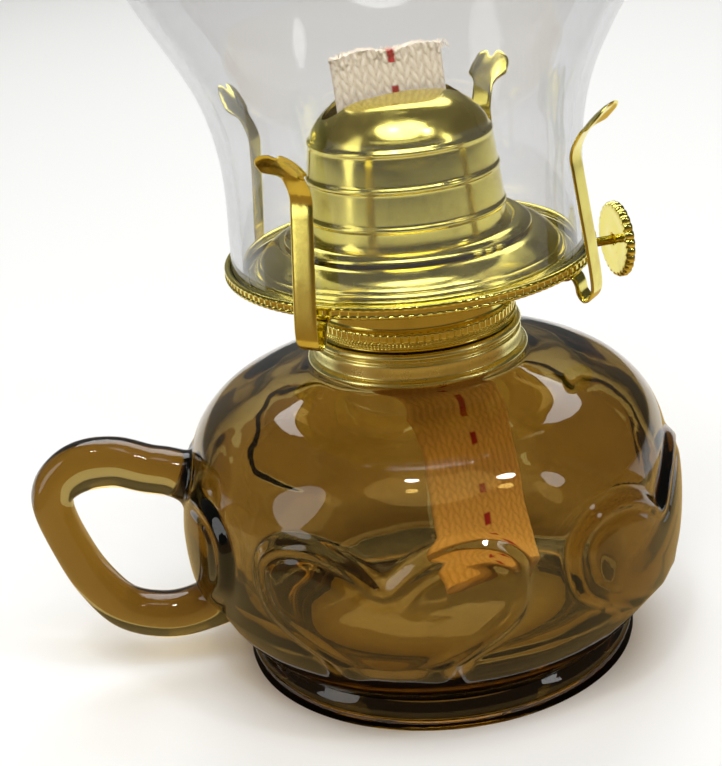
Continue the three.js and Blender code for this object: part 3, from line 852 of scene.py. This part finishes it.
@dataclass
class Dome:
    """The dome: a drum with three fine rings, a round crown with the flame slot, and a flange."""

    segments: int = 240
    thickness: float = 0.55
    slot_width: float = 7.0
    slot_reach: float = 15.5

    def make(self, brass: bpy.types.Material) -> None:
        """Turns the sheet, cuts the slot through the crown and adds the crimped tabs."""
        low, high = corners("dome")
        base, rise = low[2] + 0.3, high[2] - low[2] - 0.6
        edge, drum = high[0], high[0] - 5.2
        line = smooth_run([
            (edge - 0.3, base), (edge - 0.6, base + 0.5), (edge - 2.0, base + 1.25),
            (edge - 3.4, base + 1.2), (edge - 4.6, base + 0.75), (drum + 0.25, base + 1.2),
            (drum - 0.05, base + 2.4), (drum - 0.5, base + 7), (drum - 1.15, base + 13),
            (drum - 1.85, base + 18.8), (drum - 2.3, base + 20.6), (drum - 3.3, base + 22.9),
            (drum - 5.5, base + 25.6), (drum - 9.2, base + 28.0),
            (drum - 14.5, base + rise - 0.45), (0.02, base + rise)], 240)
        for ring in (5.2, 12.9, 20.2):
            line[:, 0] += 0.36 * np.exp(-(((line[:, 1] - base - ring) / 0.45) ** 2))
        along = tangents(line)
        normal = np.stack([along[:, 1], -along[:, 0]], 1)
        half = self.thickness / 2
        outer, inner = line + half * normal, (line - half * normal)[::-1]
        outer[-1, 0] = inner[0, 0] = 0
        grid = turned_grid(np.vstack([outer, inner]), self.segments)
        obj = point_out(grid_object("dome_sheet", grid, Ends.LOOP))
        carve(obj, self.slot(base + 15.0, base + rise + 8), "DIFFERENCE")
        obj.name = obj.data.name = "dome_cap"
        Piece("dome_cap", "burner", "brass", ("dome",), 38).finish(obj, brass)
        self.tabs(edge, base, brass)

    def slot(self, low: float, high: float) -> bpy.types.Object:
        """Raises a long oval: two half circles joined by straight sides."""
        a = np.linspace(0, TURN, 64, endpoint=False)
        straight = self.slot_reach - self.slot_width / 2
        x = straight * np.sign(np.cos(a)) + self.slot_width / 2 * np.cos(a)
        y = self.slot_width / 2 * np.sin(a)
        ring = np.stack([x, y], 1)
        grid = np.stack([np.column_stack([ring, np.full(64, z)]) for z in (low, high)])
        return point_out(grid_object("slot", grid, Ends.CAPPED))

    def tabs(self, edge: float, base: float, brass: bpy.types.Material) -> None:
        """Lays two wavy tabs over the flange's edge, where the gallery grips the dome."""
        steps, width = 60, 1.1
        centre_angles = np.radians([-68.0, 112.0])
        places, faces = [], []
        for centre in centre_angles:
            t = np.linspace(-1, 1, steps)
            angle = centre + t * math.radians(9)
            lift = 0.32 * np.cos(3 * math.pi * t) * (1 - t**4)
            section = np.linspace(0, TURN, 12, endpoint=False)
            radius = (edge - 0.15 + lift)[:, None] + width / 2 * np.cos(section)[None, :]
            fade = np.sqrt(np.clip(1 - t**10, 0.02, 1))[:, None]
            z = base - 0.12 + 0.42 * np.sin(section)[None, :] * fade
            grid = np.stack([radius * np.cos(angle)[:, None], radius * np.sin(angle)[:, None],
                             z + 0 * radius], -1)
            start = sum(len(p) for p in places)
            places.append(grid.reshape(-1, 3))
            faces += [[v + start for v in f] for f in grid_faces(steps, 12, Ends.CAPPED)]
        obj = mesh_object("dome_tabs", np.vstack(places), faces)
        Piece("dome_tabs", "burner", "brass", (), 60).finish(obj, brass)


@dataclass
class Prongs:
    """Four sprung strips: riveted foot, return bend, long leg and a two-lobed spoon tip."""

    thickness: float = 0.7
    half_width: float = 2.5
    lobe_width: float = 5.0
    angles: tuple = (45, 135, 225, 315)
    route: tuple = ((-2.6, 0), (0.4, 0), (1.6, -1.4), (2.1, -3.6), (3.3, -4.9), (4.7, -3.8),
                    (5.1, -1.2), (4.3, 6), (3.2, 14), (2.3, 20.5), (1.9, 24.4), (3.3, 27.8),
                    (6.2, 31.5), (9.6, 34.6))

    def grid(self, radius: float, level: float) -> Grid:
        """Carries a thin crowned section along the strip's path, at angle 0.

        The section's half width swells near the tip, and its end line is two half circles side
        by side. The strip's thickness follows the section's normal.

        Args:
            radius: Chimney base radius that the route starts from.
            level: Height of the foot's middle.

        Returns:
            Grid places, path steps by section points.
        """
        steps, half_points = 170, 22
        route = np.array(self.route, float)
        path = smooth_run(np.stack([radius + route[:, 0], 0 * route[:, 0], level + route[:, 1]],
                                   1), 600)
        v = np.sin(np.linspace(-math.pi / 2, math.pi / 2, half_points))
        ring_v = np.concatenate([v, v[::-1]])
        face = np.concatenate([np.ones(half_points), -np.ones(half_points)])
        t = np.linspace(0, 1, steps)[:, None]
        rounded = np.sqrt(np.clip(1 - ring_v**4, 0, 1))
        cleft = np.exp(-((ring_v / 0.16) ** 2))
        ending = (0.925 + 0.075 * rounded - 0.03 * cleft)[None, :]
        reach = t * ending
        swell = smoothstep((reach - 0.845) / 0.06)
        width = self.half_width + (self.lobe_width - self.half_width) * swell
        place = reach * (len(path) - 1)
        centre = np.stack([np.interp(place, np.arange(len(path)), axis) for axis in path.T], -1)
        along = tangents(path)
        slope = np.stack([np.interp(place, np.arange(len(path)), axis) for axis in along.T], -1)
        normal = np.cross(slope, [0.0, 1.0, 0.0])
        edge_round = np.sqrt(np.clip(1 - np.abs(ring_v) ** 8, 0, 1))[None, :]
        tip_round = np.sqrt(np.clip(1 - t**60, 0, 1))
        dish = -1.1 * swell * ring_v[None, :] ** 2
        thick = face[None, :] * self.thickness / 2 * edge_round * tip_round + dish
        grid = centre + thick[..., None] * normal
        grid[..., 1] += width * ring_v[None, :]
        return grid

    def make(self, brass: bpy.types.Material) -> None:
        """Sets the four prongs round the gallery."""
        radius = self.base_radius()
        foot = corners("gallery")[0][2] - 0.3 - self.thickness / 2
        grid = self.grid(radius, foot)
        for i, angle in enumerate(self.angles, 1):
            a = math.radians(angle)
            turn = np.array([[math.cos(a), -math.sin(a), 0], [math.sin(a), math.cos(a), 0],
                             [0, 0, 1]])
            Piece(f"prong_strip_{i}", f"prong_{i}", "brass", (f"prong_{i}",), 55).build(
                grid @ turn.T, Ends.CAPPED, brass)

    def base_radius(self) -> float:
        """Gives the chimney base's radius, which the air dish is cut to."""
        return corners("air_dish")[1][0] + 3.4


@dataclass
class WickRaiser:
    """The spindle and its scalloped thumb wheel."""

    scallops: int = 26

    def make(self, brass: bpy.types.Material, dull: bpy.types.Material) -> None:
        """Makes the spindle and the thumb wheel, and dresses the toothed wheels."""
        low, high = corners("wick_shaft")
        y, z = (low[1] + high[1]) / 2, (low[2] + high[2]) / 2
        radius = (high[1] - low[1]) / 2
        self.spindle(low[0], high[0], y, z, radius, brass)
        self.wheel(y, z, radius, brass)
        dress([f"spur_wheel_{i}" for i in range(1, 5)], dull)

    def across(self, outline: Profile, segments: int, y: float, z: float,
               offset: Optional[Callable] = None) -> Grid:
        """Turns an outline of [radius, place along X] round the spindle."""
        grid = turned_grid(outline, segments, offset)
        return np.stack([grid[..., 2], y + grid[..., 0], z + grid[..., 1]], -1)

    def spindle(self, start: float, end: float, y: float, z: float, radius: float,
                brass: bpy.types.Material) -> None:
        """Turns a round bar with rounded ends."""
        dome = smooth_run([(0.001, start), (radius * 0.7, start + 0.1), (radius, start + 0.5)], 8)
        tail = smooth_run([(radius, end - 0.5), (radius * 0.75, end - 0.1), (0.001, end)], 8)
        grid = self.across(np.vstack([dome, tail]), 36, y, z)
        Piece("spindle", "raiser", "brass", ("wick_shaft",), 50).build(
            grid, Ends.CAPPED, brass)

    def wheel(self, y: float, z: float, shaft: float, brass: bpy.types.Material) -> None:
        """Turns a dished wheel whose rim is bent outward and scalloped."""
        low, high = corners("thumb_wheel")
        x, depth = low[0], high[0] - low[0]
        radius = (high[2] - low[2]) / 2
        outline = np.array([
            (shaft + 0.3, x + 0.35), (shaft + 1.2, x + 0.1), (shaft + 2.0, x + 0.3),
            (radius - 2.2, x + 0.25), (radius - 1.0, x + 0.02), (radius - 0.35, x + 0.2),
            (radius, x + 0.8), (radius, x + depth - 0.5), (radius - 0.3, x + depth - 0.1),
            (radius - 0.7, x + depth - 0.1), (radius - 0.95, x + depth - 0.5),
            (radius - 1.0, x + 1.4), (radius - 1.6, x + 1.05), (shaft + 2.2, x + 1.1),
            (shaft + 1.6, x + 1.9), (shaft + 0.9, x + 2.05), (shaft + 0.3, x + 1.8)])
        middle = (outline[:, 0] - radius + 2.2) / 1.7

        def scallop(angle: np.ndarray, index: np.ndarray) -> np.ndarray:
            """Round bites into the rim, fading toward the middle of the wheel."""
            fade = smoothstep(middle[index])
            return -0.42 * fade * (1 - np.abs(np.sin(self.scallops / 2 * angle)) ** 0.8)

        grid = self.across(outline, self.scallops * 14, y, z, scallop)
        piece = Piece("thumb_wheel_brass", "raiser", "brass", ("thumb_wheel",), 40)
        obj = piece.build(grid, Ends.LOOP, brass)
        LOG.info("%s has %d scallops", obj.name, self.scallops)


@dataclass
class Wick:
    """The flat cotton wick: woven band with a frayed top, and its tail inside the font."""

    width: float = 23.6
    twist: float = 16.0
    thickness: float = 3.0
    stitch_width: float = 1.45
    stitch_length: float = 2.6
    stitch_depth: float = 0.32
    tracer_every: float = 7.8
    seed: int = 7

    def route(self, top: float, step: float) -> np.ndarray:
        """Gives the band's middle line from its top edge down into the font."""
        return smooth_run([
            (-1.5, 0, top), (-1.2, 0, top - 6), (-0.7, 0, top - 16), (-0.7, 0, top - 32),
            (-0.7, 0, top - 59.6), (-0.4, 0, top - 66.6), (1.6, -0.4, top - 72),
            (5.2, -1.4, top - 78), (7.8, -3.2, top - 85), (8.0, -8, top - 94.5),
            (6.4, -17, top - 101.5), (4.2, -29, top - 105)], int(128 / step))

    def make(self, cotton: bpy.types.Material) -> None:
        """Carries the woven section down the route and frays its top edge.

        Columns of slanted stitches run down both faces. A stitch is a half sine across its
        column and a half sine along its length, and its neighbours slant the other way.
        """
        _, high = corners("wick")
        step = 0.4
        path = self.route(high[2], step)
        rows = len(path)
        along = tangents(path)
        twist = np.radians(self.twist) * smoothstep((high[2] - 66.6 - path[:, 2:]) / 22)
        side = np.concatenate([np.cos(twist), np.sin(twist), 0 * twist], 1)
        out = np.cross(along, side)
        out /= np.linalg.norm(out, axis=1, keepdims=True)
        columns = 64
        u = np.concatenate([np.linspace(-1, 1, columns), np.linspace(1, -1, columns)])[None, :]
        face = np.concatenate([np.ones(columns), -np.ones(columns)])[None, :]
        half = self.width / 2 - self.stitch_depth
        across = half * u + 0 * path[:, :1]
        length = (np.arange(rows) * step)[:, None]
        column = across / self.stitch_width
        lean = np.where(np.floor(column) % 2 == 0, 1.0, -1.0)
        within = column - np.floor(column)
        run = length / self.stitch_length + lean * (within - 0.5) * 0.9 + 0.5 * (lean > 0)
        yarn = np.abs(np.sin(math.pi * within)) ** 0.6 * np.abs(np.sin(math.pi * run)) ** 0.5
        edge = np.sqrt(np.clip(1 - np.abs(u) ** 14, 0, 1))
        frayed = smoothstep(1.6 - length / 2.2)
        rng = np.random.default_rng(self.seed)
        rough = rng.normal(0, 1, (rows, 2 * columns))
        thick = face * edge * (self.thickness / 2 - self.stitch_depth * (1 - yarn) - 0.02)
        grid = swept_grid(path, side, out, across, thick)
        grid[..., 2] -= frayed * (0.5 + 0.5 * np.sin(across * 0.55 + 1)) * 0.9
        grid += (frayed * rough * 0.12)[..., None]
        tracer_column = np.floor(column) == 0
        tracer_phase = (length / self.tracer_every) % 1
        tracer = (tracer_column & (tracer_phase < 0.34) & (np.abs(u) < 0.2)).astype(float)
        piece = Piece("wick_band", "wick", "cotton", ("wick",), 80)
        obj = grid_object(piece.name, grid, Ends.CAPPED)
        oiled = smoothstep((high[2] - 58 - grid[..., 2]) / 8)
        store(obj, yarn=yarn + 0 * oiled, tracer=tracer, oiled=oiled)
        piece.finish(obj, cotton)
        fringe = self.fringe(high[2], cotton, rng)

    def fringe(self, top: float, cotton: bpy.types.Material,
               rng: np.random.Generator) -> bpy.types.Object:
        """Stands loose fibres along the top edge, each a thin bent three-sided strand."""
        count, steps = 260, 6
        x = rng.uniform(-0.97, 0.97, count) * self.width / 2
        y = rng.uniform(-0.8, 0.8, count) * self.thickness / 2
        tall = rng.uniform(0.4, 1.3, count)
        lean = rng.normal(0, 0.55, (count, 2))
        t = np.linspace(0, 1, steps)[None, :, None]
        foot = np.stack([x, y, np.full(count, top - 1.9)], -1)[:, None, :]
        bend = np.concatenate([lean, np.zeros((count, 1))], 1)[:, None, :]
        rise = np.stack([0 * tall, 0 * tall, tall + 0.5], -1)[:, None, :]
        line = foot + rise * t + bend * t**2
        a = np.linspace(0, TURN, 3, endpoint=False)
        ring = np.stack([np.cos(a), np.sin(a), 0 * a], -1)[None, None]
        slim = (0.11 * (1 - 0.6 * t))[..., None]
        strands = line[:, :, None, :] + slim * ring
        faces = grid_faces(steps, 3, Ends.CAPPED)
        every = [[v + i * steps * 3 for v in f] for i in range(count) for f in faces]
        piece = Piece("wick_fringe", "wick", "cotton", (), 60)
        obj = mesh_object(piece.name, strands, every)
        store(obj, yarn=np.full(len(obj.data.vertices), 0.8))
        return piece.finish(obj, cotton)


@dataclass
class Chimney:
    """The blown chimney: fitter base, waist, bulb and long neck with a fire-polished mouth."""

    wall: float = 2.2
    segments: int = 200
    stations: tuple = ((37, 0), (36.7, 8.5), (36.4, 17.5), (36.8, 24.5), (38, 31.5),
                       (40.2, 38.5), (43.6, 45.5), (47.5, 52.5), (51, 59.5), (54, 68),
                       (55.4, 78), (54.4, 90), (50.6, 104), (45.4, 120), (39.8, 138),
                       (34.6, 156), (30.4, 174), (27.8, 192), (26.6, 216))

    def make(self, glass: bpy.types.Material) -> None:
        """Turns the wall between the outside line and the same line moved in by the wall."""
        low, high = corners("chimney")
        tall = (high[2] - low[2]) / self.stations[-1][1]
        line = smooth_run([(r, low[2] + z * tall) for r, z in self.stations], 150)
        middle = line - [self.wall / 2, 0]
        middle[0, 1] += self.wall / 2
        middle[-1, 1] -= self.wall / 2
        grid = turned_grid(sheet_outline(middle, self.wall, 7), self.segments)
        Piece("chimney_glass", "chimney", "clear_glass", ("chimney",), 60).build(
            grid, Ends.LOOP, glass)


# ---------------------------------------------------------------------------------------------
# Studio
# ---------------------------------------------------------------------------------------------
@dataclass
class Studio:
    """Pale paper, rings of painted shade, soft lights and the camera."""

    azimuth: float = -15.0
    distance: float = 333.3
    height: float = 194.3
    yaw: float = -0.0382
    pitch: float = 0.382
    roll: float = -0.100
    lens: float = 78.97
    # Gap between the foot and the paper that holds the sheet of painted contact shadow.
    shadow_sheet_gap: float = 0.3
    seen_through: float = 200.0

    def floor(self) -> None:
        """Lays a wide sheet of paper that sweeps up behind the lamp."""
        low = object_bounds()[0].z
        across = np.linspace(-9000, 9000, 9)
        run = np.array([(-9000, 0), (-500, 0), (600, 0), (1500, 0), (2200, 0), (2700, 160),
                        (2950, 600), (3000, 1400), (3000, 2400)], float)
        path = smooth_run(run, 60)
        x, y = np.meshgrid(across, path[:, 0])
        _, z = np.meshgrid(across, path[:, 1])
        # The paper sits that gap below the foot, leaving room for the sheet of painted contact
        # shadow.
        places = np.stack([x, y, z + low / MM - self.shadow_sheet_gap], -1)
        i, j = np.meshgrid(np.arange(len(path) - 1), np.arange(len(across) - 1), indexing="ij")
        a = i * len(across) + j
        faces = np.stack([a, a + 1, a + 1 + len(across), a + len(across)], -1).reshape(-1, 4)
        obj = mesh_object("studio_paper", places, faces.tolist())
        obj.data.shade_smooth()
        obj.data.materials.append(PalePaper().material())
        obj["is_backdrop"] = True

    def dark_ring(self, name: str, colour: str, radii: tuple[float, float], sweep: float,
                  level: float, thick: float) -> None:
        """Lays a ring of painted shade on the paper, seen in reflections and, if near, through
        glass.

        Args:
            name: The ring's name.
            colour: Its matt colour.
            radii: Inner and outer radius.
            sweep: Angle that it covers, centred on the camera's side, in degrees.
            level: Its underside, from the lamp's foot.
            thick: Its thickness.
        """
        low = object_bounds()[0].z / MM + level
        steps = 60
        angle = np.radians(np.linspace(-sweep / 2, sweep / 2, steps) - 90 + self.azimuth)[:, None]
        ring = np.array([[radii[0], radii[1], radii[1], radii[0]]])
        height = np.array([[low, low, low + thick, low + thick]]) + 0 * angle
        grid = np.stack([ring * np.cos(angle), ring * np.sin(angle), height], -1)
        obj = grid_object(name, grid, Ends.CAPPED)
        obj.data.materials.append(PalePaper(name, colour).material())
        # Painted shade: hidden from the camera, from diffuse light and from shadows, so it only
        # darkens what reflections and glass show.
        obj.visible_camera = obj.visible_diffuse = obj.visible_shadow = False
        obj.visible_volume_scatter = False
        obj.visible_transmission = radii[1] < self.seen_through
        obj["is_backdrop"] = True

    def camera(self) -> None:
        """Places the camera from its height, distance and angles."""
        cos_y, sin_y = math.cos(self.yaw), math.sin(self.yaw)
        cos_p, sin_p = math.cos(self.pitch), math.sin(self.pitch)
        forward = Vector((sin_y * cos_p, cos_y * cos_p, -sin_p))
        right = Vector((cos_y, -sin_y, 0))
        up = right.cross(forward)
        cos_r, sin_r = math.cos(self.roll), math.sin(self.roll)
        turned_right = cos_r * right + sin_r * up
        turned_up = cos_r * up - sin_r * right
        pose = Matrix((turned_right, turned_up, -forward)).transposed().to_4x4()
        pose.translation = Vector((0, -self.distance, self.height)) * MM
        data = bpy.data.cameras.new("studio_camera")
        data.sensor_width = 36
        data.lens = self.lens
        data.clip_start = 0.01
        obj = bpy.data.objects.new("studio_camera", data)
        bpy.context.scene.collection.objects.link(obj)
        obj.matrix_world = Matrix.Rotation(math.radians(self.azimuth), 4, "Z") @ pose
        bpy.context.scene.camera = obj

    def lights(self) -> None:
        """Hangs soft boxes above and beside the lamp and sets a dim even surround."""
        centre = Vector((0, 0, 0.09))
        boxes = (("rear_ceiling", (0.3, 0.95, 1.15), (1.5, 0.9), 11.5, True),
                 ("front_fill", (-0.1, -0.5, 1.3), (1.2, 1.0), 14.0, False),
                 ("left_window", (-0.95, -0.15, 0.42), (0.4, 0.9), 1.8, True),
                 ("right_window", (0.9, -0.75, 0.75), (0.2, 0.5), 0.9, True),
                 ("bulb", (0.42, -0.62, 1.0), (0.12, 0.12), 1.5, True),
                 ("far_bulb", (-0.25, -0.45, 1.25), (0.11, 0.11), 1.3, True))
        for name, place, size, power, mirrored in boxes:
            data = bpy.data.lights.new(f"{name}_light", "AREA")
            data.shape = "ELLIPSE"
            data.size, data.size_y = size
            data.energy = power
            obj = bpy.data.objects.new(f"{name}_light", data)
            bpy.context.scene.collection.objects.link(obj)
            where = Vector(place)
            obj.location = where
            obj.rotation_euler = (centre - where).to_track_quat("-Z", "Y").to_euler()
            obj.visible_glossy = mirrored
        world = bpy.data.worlds.new("studio_surround")
        bpy.context.scene.world = world
        world.use_nodes = True
        world.node_tree.nodes.clear()
        surround = add_node(world.node_tree, "Background",
                            {"Color": "#b4b2a4", "Strength": 0.16})
        add_node(world.node_tree, "OutputWorld", {"Surface": surround.outputs[0]})

    def make(self) -> None:
        """Sets the camera, the paper, the rings of painted shade and the lights."""
        self.camera()
        self.floor()
        # Painted reflection: a wide warm-dark sheet on the camera's side, seen only in the brass,
        # standing in for a dim room.
        self.dark_ring("painted_reflection_surround", "#86683f", (170.0, 6000.0), 200.0, 0.5, 1.0)
        # Painted shade: a tan ring round the lamp, seen only in reflections and through the glass,
        # where it tints and darkens the body.
        self.dark_ring("painted_shade_near_ring", "#c3a76e", (47.0, 170.0), 359.0, 0.5, 1.0)
        # Painted contact shadow: a near-black sheet under the foot, seen through the glass, which
        # gives the foot its dark tone.
        self.dark_ring("painted_foot_shadow", "#2a2118", (33.0, 46.0), 359.0, -0.2, 0.1)
        self.lights()
        bpy.context.scene.view_settings.view_transform = "Standard"


def main() -> None:
    """Builds the studio and every sub-assembly."""
    logging.basicConfig(level=logging.INFO, format="%(name)s: %(message)s")
    Studio().make()
    amber = PressedGlass().material()
    clear = PressedGlass("clear_blown_glass", "#c1c2c5", 140.0, "#f8f8f8", 0.01, 1.5, 30.0, 0.06,
                         6.0)
    polished = PlatedBrass().material()
    banded = PlatedBrass("brushed_brass", "#fff3a0", brushing=Brushing.UPRIGHT, roughness=0.26,
                         dullest=0.36).material()
    dull = PlatedBrass("unpolished_brass", "#b89c55", "#7d6430", 0.3, 0.5).material()
    Font().make(amber)
    Collar().make(banded, PlasterCement().material())
    BurnerShell().make(polished, dull)
    Gallery().make(polished)
    Dome().make(polished)
    Prongs().make(polished)
    WickRaiser().make(polished, dull)
    Wick().make(WovenCotton().material())
    Chimney().make(clear.material())


if __name__ == "__main__":
    main()
